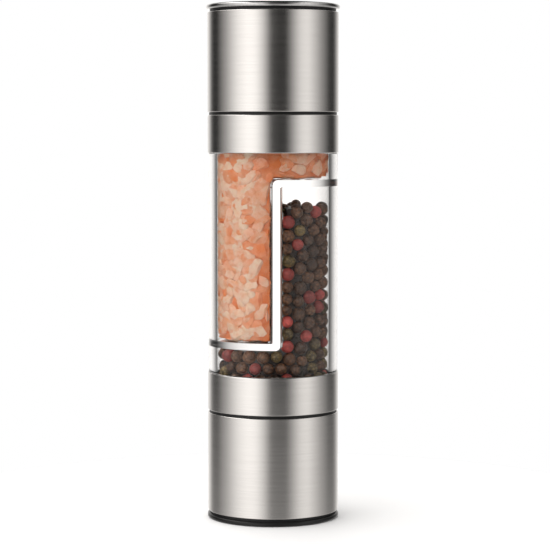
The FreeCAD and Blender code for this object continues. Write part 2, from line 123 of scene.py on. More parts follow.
class JarSettings(bpy.types.PropertyGroup):
    wall: length("Wall", "Wall of the jar", 3.4 * MM)
    edge: length("Edge", "Rounding of the shoulders", 0.4 * MM)
    neck_wall: length("Neck wall", "Wall of the necks", 1.7 * MM)
    divider: length("Divider", "Wall between the two chambers", 2.7 * MM)
    rise: length("Rise", "Height between the divider's two shelves", 63.6 * MM)
    corner: length("Corner", "Outer rounding of the divider", 1.8 * MM)
    pocket: length("Pocket", "Inner rounding of the divider", 0.6 * MM)
    fillet: length("Fillet", "Rounding where the divider meets the jar's wall", 1.1 * MM)
    groove: length("Groove", "Depth of the seal grooves", 1.05 * MM)
    slot_width: length("Slot width", "Width of the key slots in the necks", 3.4 * MM)
    slot_depth: length("Slot depth", "Depth of the key slots in the necks", 3.8 * MM)
    clear: colour("Clear", "Tint of the clear plastic", (0.995, 0.995, 0.995))
    glare: share("Glare", "How strongly the jar mirrors the room where it faces the eye", 0.2)


class SaltSettings(bpy.types.PropertyGroup):
    reach: length("Flake", "Half the length of a salt flake", 4.3 * MM)
    spacing: length("Spacing", "Least distance between flakes of one layer", 3.0 * MM)
    gap: length("Gap", "Air between the flakes and the jar", 0.25 * MM)
    bed: length("Bed", "Depth of the bed behind the flakes", 1.25 * MM)
    pale: colour("Pale", "Palest flakes", (1.0, 0.68, 0.50))
    deep: colour("Deep", "Deepest flakes", (0.94, 0.26, 0.07))


class PepperSettings(bpy.types.PropertyGroup):
    bed: length("Bed", "Depth of the bed behind the peppercorns", 2.7 * MM)
    red_share: share("Red share", "Share of red berries", 0.17)
    olive_share: share("Olive share", "Share of olive berries", 0.17)
    brown: colour("Brown", "Plain dried berries", (0.185, 0.088, 0.044))
    red: colour("Red", "Red berries", (0.50, 0.085, 0.07))
    olive: colour("Olive", "Wrinkled olive berries", (0.27, 0.19, 0.07))


class WorksSettings(bpy.types.PropertyGroup):
    black: colour("Black", "Black mouldings of the lids, heads and collars", (0.010, 0.010, 0.011))
    knob: colour("Knob", "Dark grey of the adjuster knobs", (0.045, 0.045, 0.047))


class StageSettings(bpy.types.PropertyGroup):
    distance: length("Distance", "From the mill's axis to the camera", 0.8336)
    height: length("Height", "Height of the camera", 0.1544)
    turn: angle("Turn", "Camera's turn about the mill", -3.4)
    pitch: angle("Pitch", "How far the camera looks down", 3.868)
    aside: angle("Aside", "How far the camera looks past the axis", 0.055)
    lens: bpy.props.FloatProperty(name="Lens", description="Focal length in millimetres", default=137.1)
    floor_radius: length("Floor", "Radius of the round floor", 0.16)
    floor: colour("Floor colour", "Pale floor", (0.64, 0.65, 0.66))


def clear_selection():
    if bpy.context.object and bpy.context.object.mode != "OBJECT":
        bpy.ops.object.mode_set(mode="OBJECT")
    bpy.ops.object.select_all(action="DESELECT")


def make_active(piece):
    clear_selection()
    piece.select_set(True)
    bpy.context.view_layer.objects.active = piece


def named(name):
    """The primitive that was just added, under its name and with its place in its mesh."""
    piece = bpy.context.object
    piece.name = name
    piece.data.name = name
    bpy.ops.object.transform_apply(location=True, rotation=True, scale=True)
    return piece


def apply_modifier(piece, kind, **values):
    make_active(piece)
    modifier = piece.modifiers.new(kind.title(), kind)
    for key, value in values.items():
        setattr(modifier, key, value)
    bpy.ops.object.modifier_apply(modifier=modifier.name)


def begin_edit(piece, element):
    make_active(piece)
    bpy.ops.object.mode_set(mode="EDIT")
    bpy.ops.mesh.select_mode(type=element)
    bpy.ops.mesh.select_all(action="DESELECT")


def end_edit():
    bpy.ops.object.mode_set(mode="OBJECT")


def smooth(piece, degrees=30.0):
    """Smooth shading with edges sharper than an angle kept sharp, and flats kept flat."""
    begin_edit(piece, "EDGE")
    bpy.ops.mesh.customdata_custom_splitnormals_clear()
    bpy.ops.mesh.select_all(action="SELECT")
    bpy.ops.mesh.mark_sharp(clear=True)
    bpy.ops.mesh.select_all(action="DESELECT")
    bpy.ops.mesh.edges_select_sharp(sharpness=math.radians(degrees))
    bpy.ops.mesh.mark_sharp()
    end_edit()
    bpy.ops.object.shade_smooth()
    apply_modifier(piece, "WEIGHTED_NORMAL", keep_sharp=True)


def pick_faces(piece, test):
    """Selects the faces whose middle passes the test, in a piece that is being edited."""
    mesh = bmesh.from_edit_mesh(piece.data)
    bpy.ops.mesh.select_all(action="DESELECT")
    for face in mesh.faces:
        face.select_set(test(face.calc_center_median(), face.normal))
    bmesh.update_edit_mesh(piece.data)


def pick_edges(piece, test):
    """Selects the edges whose two ends pass the test, in a piece that is being edited."""
    mesh = bmesh.from_edit_mesh(piece.data)
    bpy.ops.mesh.select_all(action="DESELECT")
    for edge in mesh.edges:
        edge.select_set(all(test(vertex.co) for vertex in edge.verts))
    bmesh.update_edit_mesh(piece.data)


def near(a, b):
    return abs(a - b) < NEAR


def dress(piece, material, body, *nodes, slot):
    """Gives a finished piece its material and its body, and hides the CAD nodes that it stands for."""
    piece.data.materials.clear()
    piece.data.materials.append(material)
    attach(piece, body)
    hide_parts(*nodes)


def tube(name, outer, inner, low, high, edge, steps=3):
    """A round tube with rounded ends."""
    clear_selection()
    bpy.ops.mesh.primitive_cylinder_add(
        vertices=ROUND, radius=outer, depth=high - low, end_fill_type="NOTHING",
        location=(0, 0, (low + high) / 2),
    )
    piece = named(name)
    apply_modifier(piece, "SOLIDIFY", thickness=outer - inner, offset=-1, use_even_offset=True)
    apply_modifier(
        piece, "BEVEL", width=edge, segments=steps, limit_method="ANGLE", angle_limit=math.radians(40)
    )
    smooth(piece)
    return piece


def cylinder(name, radius, low, high):
    clear_selection()
    bpy.ops.mesh.primitive_cylinder_add(
        vertices=ROUND, radius=radius, depth=high - low, location=(0, 0, (low + high) / 2)
    )
    return named(name)


def boolean(piece, tool, operation):
    apply_modifier(piece, "BOOLEAN", object=tool, operation=operation, solver="EXACT")
    bpy.data.objects.remove(tool, do_unlink=True)


def rgba(shade):
    """A grey or a colour in the form that a socket takes."""
    return (shade, shade, shade, 1.0) if isinstance(shade, float) else (*shade[:3], 1.0)


def toned(shade, factor):
    return tuple(min(1.0, value * factor) for value in shade)


class Nodes:
    """Steps that build a node tree, for the finishes and for the studio's light."""

    def __init__(self, tree):
        self.tree = tree

    def step(self, kind, inputs, output=0, **traits):
        """Adds a node, whose inputs are links or constant values, and gives one of its outputs."""
        node = self.tree.nodes.new(f"ShaderNode{kind}")
        for name, value in traits.items():
            setattr(node, name, value)
        for socket, value in inputs.items():
            if isinstance(value, bpy.types.NodeSocket):
                self.tree.links.new(value, node.inputs[socket])
            else:
                node.inputs[socket].default_value = value
        return node.outputs[output]

    def ramp(self, value, *stops):
        """Colours or greys along a value: (position, shade) stops."""
        shades = self.step("ValToRGB", {"Fac": value}, "Color")
        elements = shades.node.color_ramp.elements
        while len(elements) < len(stops):
            elements.new(1.0)
        for element, (position, shade) in zip(elements, stops):
            element.position = position
            element.color = rgba(shade)
        return shades

    def mix(self, factor, first, second, blend="MIX"):
        return self.step("Mix", {0: factor, 6: first, 7: second}, 2, data_type="RGBA", blend_type=blend)

    def spread(self, value, low, high, top=1.0, blend="LINEAR"):
        """How far a value is from low to high, as 0 to top."""
        limits = {"Value": value, "From Min": low, "From Max": high, "To Max": top}
        return self.step("MapRange", limits, "Result", interpolation_type=blend)


class Finish(Nodes):
    """A material that is built step by step round one Principled shader."""

    def __init__(self, name):
        self.material = bpy.data.materials.new(name)
        self.material.use_nodes = True
        super().__init__(self.material.node_tree)
        self.shader = self.tree.nodes["Principled BSDF"]
        self.place = self.step("TexCoord", {}, "Object")

    def set(self, sockets):
        for name, value in sockets.items():
            self.shader.inputs[name].default_value = value

    def link(self, output, socket):
        self.tree.links.new(output, self.shader.inputs[socket])

    def stretched(self, x, y, z):
        return self.step("Mapping", {"Scale": (x, y, z), "Vector": self.place}, "Vector")

    def noise(self, scale, detail=3.0, place=None):
        """Soft noise with so many waves to the metre."""
        inputs = {"Scale": scale, "Detail": detail, "Vector": place or self.place}
        return self.step("TexNoise", inputs, "Fac")

    def cells(self, scale):
        """Distance to the borders of cells, so many to the metre."""
        inputs = {"Scale": scale, "Vector": self.place}
        return self.step("TexVoronoi", inputs, "Distance", feature="DISTANCE_TO_EDGE")

    def tint(self):
        """The number that each flake or berry carries: its own tone, and for the salt flakes also painted
        shade where they lie deep in the heap or by the divider.
        """
        return self.step("Attribute", {}, "Fac", attribute_name="tint")

    def bump(self, height, distance, strength):
        inputs = {"Distance": distance, "Strength": strength, "Height": height}
        self.link(self.step("Bump", inputs, "Normal"), "Normal")


def brushed_steel(settings):
    """Steel brushed round the tube: fine streaks that run round and change along the axis."""
    finish = Finish("brushed_steel")
    streak = finish.noise(1.0, 4.0, finish.stretched(60.0, 60.0, 5200.0))
    finish.link(finish.ramp(streak, (0.3, settings.dark), (0.7, settings.light)), "Base Color")
    low = settings.roughness - 0.03
    high = settings.roughness + 0.03
    finish.link(finish.ramp(streak, (0.25, low), (0.75, high)), "Roughness")
    finish.bump(streak, 0.004 * MM, 0.2)
    finish.set({"Metallic": 1.0, "Anisotropic": 0.55})
    finish.link(finish.step("Tangent", {}, direction_type="RADIAL", axis="Z"), "Tangent")
    return finish.material


def polished_metal(settings):
    finish = Finish("polished_metal")
    wear = finish.noise(900.0)
    worn = toned(settings.metal, 0.85)
    finish.link(finish.ramp(wear, (0.35, settings.metal), (0.75, worn)), "Base Color")
    finish.link(finish.ramp(wear, (0.3, 0.08), (0.7, 0.16)), "Roughness")
    finish.set({"Metallic": 1.0})
    return finish.material


def bright_steel():
    """Small turned and stamped hardware."""
    finish = Finish("hardware_steel")
    grain = finish.noise(2600.0)
    finish.link(finish.ramp(grain, (0.3, (0.52, 0.52, 0.52)), (0.7, (0.68, 0.68, 0.67))), "Base Color")
    finish.link(finish.ramp(grain, (0.3, 0.22), (0.7, 0.36)), "Roughness")
    finish.set({"Metallic": 1.0})
    return finish.material


def black_plastic(name, shade, gloss, grain_size):
    """Moulded black: faint mottling and a fine spark-eroded grain."""
    finish = Finish(name)
    grain = finish.noise(1.0 / grain_size, 2.0)
    cloud = finish.noise(140.0)
    finish.link(finish.ramp(cloud, (0.3, shade), (0.7, toned(shade, 1.6))), "Base Color")
    finish.link(finish.ramp(grain, (0.3, gloss), (0.7, gloss + 0.12)), "Roughness")
    finish.bump(grain, 0.01 * MM, 0.4)
    finish.set({"Specular IOR Level": 0.25})
    return finish.material


def fired_ceramic():
    finish = Finish("burr_ceramic")
    cloud = finish.noise(350.0, 4.0)
    finish.link(finish.ramp(cloud, (0.3, (0.80, 0.78, 0.73)), (0.7, (0.88, 0.87, 0.83))), "Base Color")
    finish.link(finish.ramp(finish.noise(3000.0, 2.0), (0.3, 0.32), (0.7, 0.46)), "Roughness")
    finish.bump(cloud, 0.02 * MM, 0.3)
    return finish.material


def silicone():
    finish = Finish("seal_rubber")
    cloud = finish.noise(500.0)
    finish.link(finish.ramp(cloud, (0.3, (0.66, 0.66, 0.63)), (0.7, (0.74, 0.74, 0.71))), "Base Color")
    finish.link(finish.ramp(cloud, (0.3, 0.4), (0.7, 0.52)), "Roughness")
    finish.set({"Subsurface Weight": 0.2, "Subsurface Scale": 0.5 * MM})
    return finish.material


def clear_plastic(settings):
    """Clear moulded acrylic with a polish that is a little uneven."""
    finish = Finish("clear_acrylic")
    finish.link(finish.ramp(finish.noise(60.0, 2.0), (0.4, 0.0), (0.8, 0.02)), "Roughness")
    finish.set({"Base Color": rgba(settings.clear), "Transmission Weight": 1.0, "IOR": 1.49})
    finish.set({"Specular Tint": rgba(settings.glare)})
    return finish.material


def pink_salt(settings, name, shade):
    """Cloudy rock salt: each flake has a depth of colour, partly its own and partly painted shade deep in
    the heap, with pale and rusty veins.
    """
    finish = Finish(name)
    # A shade below 1 darkens the whole salt: the bed gets 0.88 of it as painted shade behind the flakes.
    pale = toned(settings.pale, shade)
    deep = toned(settings.deep, shade)
    cloud = finish.ramp(finish.noise(230.0, 4.0), (0.32, 0.0), (0.68, 1.0))
    body = finish.ramp(finish.mix(0.3, finish.tint(), cloud), (0.08, deep), (0.8, pale))
    veins = finish.ramp(finish.noise(520.0, 5.0), (0.34, (0.93, 0.74, 0.60)), (0.52, 1.0))
    finish.link(finish.mix(0.8, body, veins, "MULTIPLY"), "Base Color")
    finish.link(finish.ramp(finish.noise(1500.0), (0.3, 0.28), (0.7, 0.5)), "Roughness")
    finish.bump(finish.noise(700.0), 0.08 * MM, 0.5)
    finish.set({"IOR": 1.54, "Subsurface Weight": 0.2})
    finish.set({"Subsurface Radius": (1.0, 0.45, 0.25), "Subsurface Scale": 0.6 * MM})
    return finish.material


def berry_skin(name, shade, wrinkle, veins, mesh_size):
    """Dried berry: skin in its own shade, with a net of wrinkles of the given depth and mesh."""
    finish = Finish(name)
    skin = finish.ramp(finish.tint(), (0.0, toned(shade, 0.55)), (0.5, shade), (1.0, toned(shade, 1.5)))
    net = finish.ramp(finish.cells(1.0 / mesh_size), (0.02, 1.0 - veins), (0.26, 1.0))
    mottle = finish.ramp(finish.noise(620.0, 4.0), (0.35, 0.62), (0.65, 1.0))
    wrinkled = finish.mix(1.0, skin, net, "MULTIPLY")
    finish.link(finish.mix(1.0, wrinkled, mottle, "MULTIPLY"), "Base Color")
    finish.link(finish.ramp(finish.noise(700.0), (0.3, 0.4), (0.7, 0.6)), "Roughness")
    finish.bump(finish.mix(0.4, net, mottle), wrinkle, 0.8)
    return finish.material


class MILL_OT_steel_tubes(bpy.types.Operator):
    """Model the brushed steel grips and collars"""

    bl_idname = "mill.steel_tubes"
    bl_label = "Steel tubes"

    def execute(self, context):
        settings = context.scene.mill_steel
        steel = brushed_steel(settings)
        for end in ENDS:
            for part, body in (("grip", f"{end}_head"), ("collar", f"{end}_collar")):
                node = f"{end}_{part}_sleeve"
                outer, low, high = extent(node)
                piece = tube(f"{end}_{part}_steel", outer, outer - settings.wall, low, high, settings.edge)
                dress(piece, steel, body, node, slot="brushed_steel")
        return {"FINISHED"}


class MILL_OT_rings(bpy.types.Operator):
    """Model the rings round both lids and the dark rings in the seams"""

    bl_idname = "mill.rings"
    bl_label = "Rings"

    def execute(self, context):
        settings = context.scene.mill_rim
        rubber = black_plastic("foot_rubber", settings.rubber, 0.24, 0.25 * MM)
        lids = (
            ("upper_lid_rim", "top_lid", polished_metal(settings), "polished_rim"),
            ("lower_foot_ring", "base_lid", rubber, "foot_rubber"),
        )
        for node, body, material, slot in lids:
            outer, low, high = extent(node)
            piece = tube(f"{node}_turned", outer, outer - settings.width, low, high, settings.edge, 5)
            dress(piece, material, body, node, slot=slot)
        glide = black_plastic("glide_plastic", settings.glide, 0.3, 0.2 * MM)
        for end in ENDS:
            outer, low, high = extent(f"{end}_glide_ring")
            piece = tube(f"{end}_seam_ring", outer, outer - settings.seam, low, high, 0.1 * MM)
            dress(piece, glide, f"{end}_collar", f"{end}_glide_ring", slot="black_glide")
        return {"FINISHED"}


def chamber_block(settings, inset, headspace=0.0):
    """The salt chamber's space: a full bore above the shelf and half a bore beside the divider."""
    wall = -settings.divider / 2 - inset
    shelf = MID_HEIGHT + settings.rise / 2 + settings.divider / 2 + inset
    floor = MID_HEIGHT - settings.rise / 2 + settings.divider / 2 + inset + headspace
    mouth = SALT_TOP - inset if inset else NECK_HIGH + settings.edge
    side = 2 * (JAR_RADIUS + settings.wall)
    clear_selection()
    bpy.ops.mesh.primitive_cube_add(
        size=1, location=(0, 0, (shelf + mouth) / 2), scale=(side, side, mouth - shelf)
    )
    block = named("chamber")
    begin_edit(block, "FACE")
    bpy.ops.mesh.select_all(action="SELECT")
    bpy.ops.mesh.bisect(plane_co=(wall, 0, 0), plane_no=(1, 0, 0))
    pick_faces(block, lambda middle, normal: normal.z < -0.9 and middle.x < wall)
    bpy.ops.mesh.extrude_region_move(TRANSFORM_OT_translate={"value": (0, 0, floor - shelf)})
    bpy.ops.mesh.select_mode(type="EDGE")
    pick_edges(block, lambda co: near(co.x, wall) and near(co.z, shelf))
    bpy.ops.mesh.bevel(offset=settings.corner, segments=8, affect="EDGES")
    pick_edges(block, lambda co: near(co.x, wall) and near(co.z, floor))
    bpy.ops.mesh.bevel(offset=settings.pocket, segments=4, affect="EDGES")
    end_edit()
    bore = JAR_RADIUS - settings.wall - inset
    boolean(block, cylinder("bore", bore, floor - settings.wall, mouth + settings.wall), "INTERSECT")
    return block


def with_fillets(block, settings):
    """The chamber's space with its upright corners rounded, where the divider meets the jar's wall."""
    wall = -settings.divider / 2
    round_x = wall - settings.fillet
    overlap = 0.02 * MM
    reach = JAR_RADIUS - settings.wall - settings.fillet + overlap
    round_y = math.sqrt(reach**2 - round_x**2)
    span_x = 1.2 * settings.fillet
    span_y = JAR_RADIUS - round_y
    for side in (-1, 1):
        clear_selection()
        bpy.ops.mesh.primitive_cube_add(
            size=1, location=(wall - span_x / 2, side * (round_y + span_y / 2), MID_HEIGHT),
            scale=(span_x, span_y, settings.rise),
        )
        corner = named("corner")
        clear_selection()
        bpy.ops.mesh.primitive_cylinder_add(
            vertices=48, radius=settings.fillet, depth=2 * settings.rise,
            location=(round_x, side * round_y, MID_HEIGHT),
        )
        boolean(corner, named("round"), "DIFFERENCE")
        boolean(block, corner, "DIFFERENCE")
    return block


def half_turned(piece):
    """The same piece turned half round about the Y axis through the jar's middle."""
    piece.rotation_euler = (0, math.pi, 0)
    piece.location = (0, 0, 2 * MID_HEIGHT)
    make_active(piece)
    bpy.ops.object.transform_apply(location=True, rotation=True, scale=True)
    return piece


class MILL_OT_clear_jar(bpy.types.Operator):
    """Model the clear jar with its necks, seal grooves and two stepped chambers"""

    bl_idname = "mill.clear_jar"
    bl_label = "Clear jar"

    def execute(self, context):
        settings = context.scene.mill_jar
        neck = JAR_RADIUS - settings.wall + settings.neck_wall
        jar = cylinder("clear_jar", JAR_RADIUS, LOWER_SHOULDER, UPPER_SHOULDER)
        begin_edit(jar, "FACE")
        for sign, rise in ((1, NECK_HIGH - UPPER_SHOULDER), (-1, NECK_LOW - LOWER_SHOULDER)):
            pick_faces(jar, lambda middle, normal: normal.z * sign > 0.9)
            bpy.ops.mesh.inset(thickness=JAR_RADIUS - neck)
            bpy.ops.mesh.extrude_region_move(TRANSFORM_OT_translate={"value": (0, 0, rise)})
        bpy.ops.mesh.select_mode(type="EDGE")
        for shoulder in (LOWER_SHOULDER, UPPER_SHOULDER):
            pick_edges(jar, lambda co: math.hypot(co.x, co.y) > neck + MM and near(co.z, shoulder))
            bpy.ops.mesh.bevel(offset=settings.edge, segments=3, affect="EDGES")
        end_edit()
        boolean(jar, with_fillets(chamber_block(settings, 0.0), settings), "DIFFERENCE")
        boolean(jar, half_turned(with_fillets(chamber_block(settings, 0.0), settings)), "DIFFERENCE")
        for end in ENDS:
            low, high = extent(f"{end}_neck_seal")[1:]
            groove = tube("groove", neck + MM, neck - settings.groove, low, high, 0.05 * MM, 1)
            boolean(jar, groove, "DIFFERENCE")
        across = 2 * JAR_RADIUS
        for middle in (NECK_HIGH, NECK_LOW):
            for size in ((across, settings.slot_width), (settings.slot_width, across)):
                clear_selection()
                bpy.ops.mesh.primitive_cube_add(
                    size=1, location=(0, 0, middle), scale=(*size, 2 * settings.slot_depth)
                )
                boolean(jar, named("slots"), "DIFFERENCE")
        smooth(jar)
        dress(jar, clear_plastic(settings), "jar", "jar", slot="clear_acrylic")
        return {"FINISHED"}


def flake_shape(seed):
    """One chip of salt about 1 long: a ball with a few sides split off, pressed flat."""
    rng = np.random.default_rng(seed)
    clear_selection()
    bpy.ops.mesh.primitive_ico_sphere_add(subdivisions=2, radius=1)
    chip = named("flake")
    begin_edit(chip, "VERT")
    for bearing in rng.uniform(0, 2 * math.pi, 4):
        facing = (math.cos(bearing), math.sin(bearing), rng.uniform(-0.5, 0.5))
        reach = rng.uniform(0.55, 0.85)
        bpy.ops.mesh.select_all(action="SELECT")
        bpy.ops.mesh.bisect(
            plane_co=tuple(v * reach for v in facing), plane_no=facing, use_fill=True, clear_outer=True
        )
    bpy.ops.mesh.select_all(action="SELECT")
    bpy.ops.transform.resize(value=(1.0, rng.uniform(0.6, 0.85), rng.uniform(0.16, 0.24)))
    end_edit()
    return taken_mesh(chip)


def berry_shape(seed):
    """One peppercorn of radius 1: a ball that dried a little out of round."""
    clear_selection()
    bpy.ops.mesh.primitive_ico_sphere_add(subdivisions=3, radius=1)
    berry = named("berry")
    begin_edit(berry, "VERT")
    bpy.ops.mesh.select_all(action="SELECT")
    bpy.ops.transform.vertex_random(offset=0.02, seed=seed)
    end_edit()
    return taken_mesh(berry)


def taken_mesh(model):
    """Points and faces of a model, which is then removed."""
    points = np.array([vertex.co for vertex in model.data.vertices])
    faces = [tuple(face.vertices) for face in model.data.polygons]
    bpy.data.objects.remove(model, do_unlink=True)
    return points, faces


def random_turns(rng, number):
    """Rotation matrices that point every way alike."""
    q = rng.normal(size=(number, 4))
    q /= np.linalg.norm(q, axis=1)[:, None]
    w, x, y, z = q.T
    rows = [
        [1 - 2 * (y * y + z * z), 2 * (x * y - z * w), 2 * (x * z + y * w)],
        [2 * (x * y + z * w), 1 - 2 * (x * x + z * z), 2 * (y * z - x * w)],
        [2 * (x * z - y * w), 2 * (y * z + x * w), 1 - 2 * (x * x + y * y)],
    ]
    return np.array(rows).transpose(2, 0, 1)


def heap(name, copies):
    """One object from (points, faces, tint) copies, each with its own points."""
    points = []
    faces = []
    tints = []
    start = 0
    for shape, sides, tint in copies:
        points.append(shape)
        faces += [tuple(start + i for i in side) for side in sides]
        tints += [tint] * len(shape)
        start += len(shape)
    mesh = bpy.data.meshes.new(name)
    mesh.from_pydata(np.concatenate(points).tolist(), [], faces)
    mesh.attributes.new("tint", "FLOAT", "POINT").data.foreach_set("value", tints)
    piece = bpy.data.objects.new(name, mesh)
    bpy.context.scene.collection.objects.link(piece)
    return piece


class SaltSpace:
    """The salt chamber as limits that a flake keeps to."""

    def __init__(self, jar, gap):
        self.bore = JAR_RADIUS - jar.wall - gap
        self.wall = -jar.divider / 2 - gap
        self.shelf = MID_HEIGHT + jar.rise / 2 + jar.divider / 2 + gap
        self.floor = MID_HEIGHT - jar.rise / 2 + jar.divider / 2 + gap
        self.top = SALT_TOP - gap

    def outside(self, points):
        """How far the worst point is out of the chamber."""
        x, y, z = points.T
        step = np.minimum(x - self.wall, self.shelf - z)
        rest = (np.hypot(x, y) - self.bore, self.floor - z, z - self.top)
        return float(np.max(np.maximum.reduce([step, *rest])))

    def spots(self, rng, number):
        """Points all over the salt's sides and top, with the way out through each."""
        area_round = math.pi * self.bore * (self.shelf - self.floor) + 2 * math.pi * self.bore * (
            self.top - self.shelf
        )
        area_flat = 2 * self.bore * (self.shelf - self.floor)
        area_half = math.pi * self.bore**2 / 2
        areas = np.array([area_round, area_flat, area_half, area_half, 2 * area_half])
        kinds = rng.choice(len(areas), number, p=areas / areas.sum())
        for kind in kinds:
            bearing = rng.uniform(0, 2 * math.pi)
            away = self.bore * math.sqrt(rng.uniform())
            height = rng.uniform(self.floor, self.top)
            way_x = math.cos(bearing)
            way_y = math.sin(bearing)
            x = away * way_x
            y = away * way_y
            sides = (
                ((self.bore * way_x, self.bore * way_y, height), (way_x, way_y, 0.0)),
                ((self.wall, y, height), (1.0, 0.0, 0.0)),
                ((abs(x), y, self.shelf), (0.0, 0.0, -1.0)),
                ((-abs(x), y, self.floor), (0.0, 0.0, -1.0)),
                ((x, y, self.top), (0.0, 0.0, 1.0)),
            )
            spot, out = (np.array(place) for place in sides[kind])
            if self.outside(spot[None, :]) < NEAR:
                yield spot, out


def lying_turn(rng, out, lean):
    """A rotation that lays a flake's flat side against a surface, with a random lean."""
    flat = out + rng.normal(size=3) * lean
    flat /= np.linalg.norm(flat)
    along = np.cross(flat, rng.normal(size=3))
    along /= np.linalg.norm(along)
    return np.stack([along, np.cross(flat, along), flat], axis=1)


class FlakeLayer(NamedTuple):
    """How the flakes of a layer lie: depth, lean, range of tints and thinning beside the divider."""

    depth: float
    lean: float
    tints: tuple
    thinning: float


FRONT_LAYER = FlakeLayer(0.05 * MM, 0.10, (0.5, 1.0), 0.85)
# The back layer's low tints make the flakes seen in the gaps deep and dark: painted shade deep in the heap.
BACK_LAYER = FlakeLayer(0.9 * MM, 0.16, (0.0, 0.45), 0.5)
FLAKE_SEED = 11
FLAKE_SHAPES = 8
FLAKE_TRIES = 9000
FLAKE_SIZES = (0.5, 0.75, 1.6)
FLAKE_PUSHES = 3
FLAKE_EXCESS = 0.3 * MM
# Beside the divider the flakes thin out and their tints turn deeper: painted shade of the crevices there.
BESIDE_DIVIDER = 9 * MM
BESIDE_MOST = 0.8
BESIDE_PAINTED_SHADE = 0.3


def laid_flakes(rng, space, shapes, settings, layer):
    """Flakes of one layer, laid apart on the chamber's sides, and painted deeper in colour by the divider
    as shade in the crevices there.
    """
    kept = []
    flakes = []
    for spot, out in space.spots(rng, FLAKE_TRIES):
        beside = np.clip(1.0 - (space.wall - spot[0]) / BESIDE_DIVIDER, 0.0, BESIDE_MOST)
        spacing = settings.spacing * (1.0 + layer.thinning * beside)
        if kept and np.min(np.linalg.norm(np.array(kept) - spot, axis=1)) < spacing:
            continue
        kept.append(spot)
        shape, sides = shapes[rng.integers(len(shapes))]
        size = settings.reach * rng.triangular(*FLAKE_SIZES)
        points = (shape * size) @ lying_turn(rng, out, layer.lean).T + spot - out * layer.depth
        for _ in range(FLAKE_PUSHES):
            points -= out * max(0.0, space.outside(points))
        if space.outside(points) < FLAKE_EXCESS:
            # A deeper tint beside the divider is painted shade.
            tint = rng.uniform(*layer.tints) * (1.0 - BESIDE_PAINTED_SHADE * beside)
            flakes.append((points, sides, tint))
    return flakes


class MILL_OT_salt(bpy.types.Operator):
    """Fill the upper chamber with pink salt flakes over a bed of salt"""

    bl_idname = "mill.salt"
    bl_label = "Pink salt"

    def execute(self, context):
        settings = context.scene.mill_salt
        jar = context.scene.mill_jar
        rng = np.random.default_rng(FLAKE_SEED)
        space = SaltSpace(jar, settings.gap)
        shapes = [flake_shape(seed) for seed in range(FLAKE_SHAPES)]
        front = laid_flakes(rng, space, shapes, settings, FRONT_LAYER)
        behind = laid_flakes(rng, space, shapes, settings, BACK_LAYER)
        flakes = heap("salt_flakes", front + behind)
        smooth(flakes, 24.0)
        dress(flakes, pink_salt(settings, "pink_salt", 1.0), "jar", "salt_fill", slot="pink_salt")
        bed = chamber_block(jar, settings.bed)
        bed.name = "salt_bed"
        bed.data.attributes.new("tint", "FLOAT", "POINT")
        smooth(bed)
        # The bed carries the deepest tint, darkened to 0.88: painted shade behind and between the flakes.
        dress(bed, pink_salt(settings, "salt_bed", 0.88), "jar", "salt_fill", slot="pink_salt")
        return {"FINISHED"}


def face_groups(mesh):
    """For each vertex, a number shared by the vertices of its face of the solid."""
    ends = np.empty(2 * len(mesh.edges), dtype=np.int64)
    mesh.edges.foreach_get("vertices", ends)
    first, second = ends.reshape(-1, 2).T
    groups = np.arange(len(mesh.vertices))
    while True:
        least = np.minimum(groups[first], groups[second])
        if (groups[first] == least).all() and (groups[second] == least).all():
            return groups
        np.minimum.at(groups, first, least)
        np.minimum.at(groups, second, least)


BERRY_LEAST = 1 * MM
BERRY_MOST = 5 * MM
BERRY_SEED = 3719
BERRY_SHAPES = 6


def balls_of(node):
    """Centres and radii of the ball-shaped faces of a CAD node."""
    mesh = frame["nodes"][node].data
    points = np.array([vertex.co for vertex in mesh.vertices])
    groups = face_groups(mesh)
    balls = {}
    for group in np.unique(groups):
        face = points[groups == group]
        terms = np.c_[2 * face, np.ones(len(face))]
        *centre, rest = np.linalg.lstsq(terms, (face**2).sum(1), rcond=None)[0]
        radius = math.sqrt(max(0.0, rest + np.dot(centre, centre)))
        misses = np.linalg.norm(face - centre, axis=1) - radius
        if np.abs(misses).max() < NEAR and BERRY_LEAST < radius < BERRY_MOST:
            balls[tuple(np.round(centre, 5))] = (*centre, radius)
    found = np.array(list(balls.values()))
    return found[:, :3], found[:, 3]


